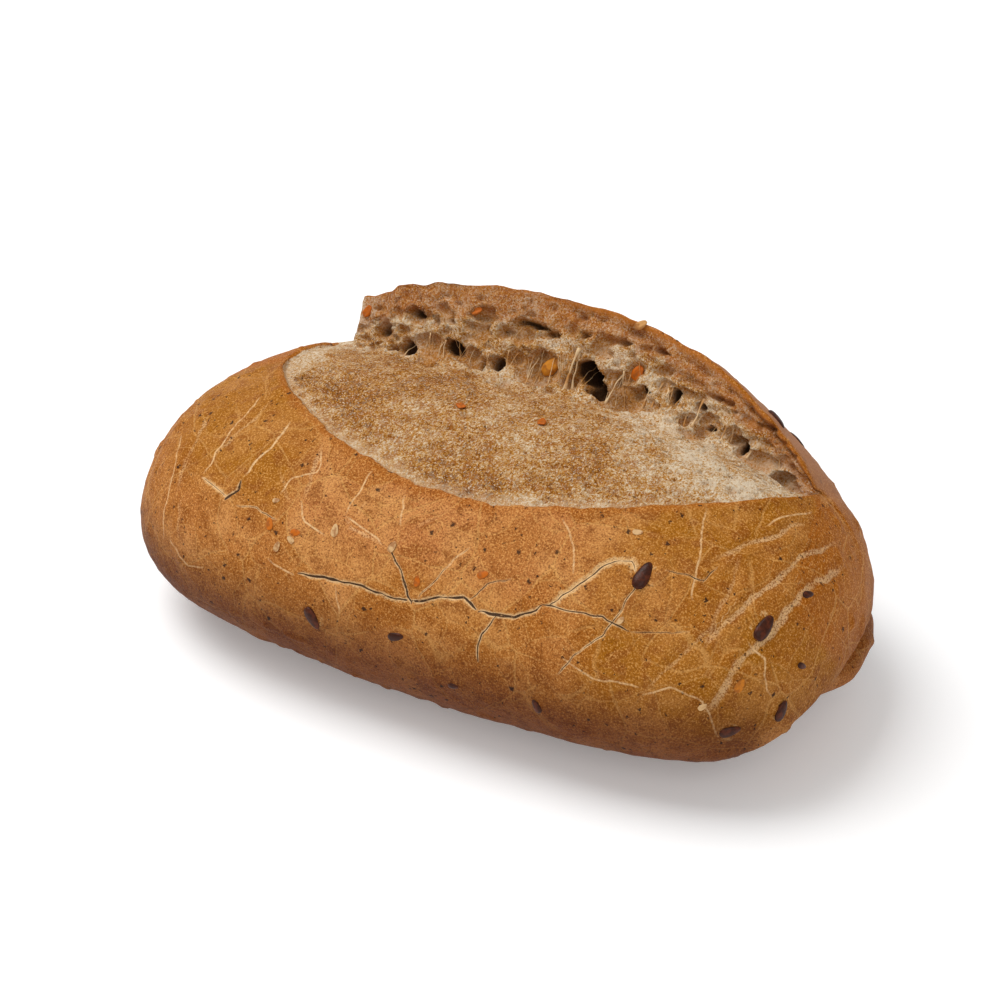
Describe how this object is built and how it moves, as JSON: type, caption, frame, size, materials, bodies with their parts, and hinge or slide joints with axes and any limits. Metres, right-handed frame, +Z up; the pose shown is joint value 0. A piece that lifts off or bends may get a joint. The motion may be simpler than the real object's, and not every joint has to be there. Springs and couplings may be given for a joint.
{
  "type": "bread roll",
  "caption": "Oval multigrain bread roll with a flat underside, a lengthwise score burst open on top and the crust behind it lifted into a torn ear.",
  "frame": {"origin": "middle of the flat underside", "axes": "+X along the roll, -Y towards the low edge of the open score, +Y towards the ear, +Z up"},
  "size_m": [0.13, 0.0775, 0.0562],
  "materials": {
    "crust": "baked wheat and malt crust, caramel brown with darker toasted patches, hairline cracks and dark linseeds",
    "crumb": "torn open crumb, cream to toasted orange brown, rough and granular with small caves",
    "seed": "dark brown linseeds baked into the crust, slightly shiny",
    "grain": "broken cereal grains and bran flakes, pale to orange brown, matt"
  },
  "bodies": {
    "root": {"bread_roll": "crust"}
  },
  "joints": []
}
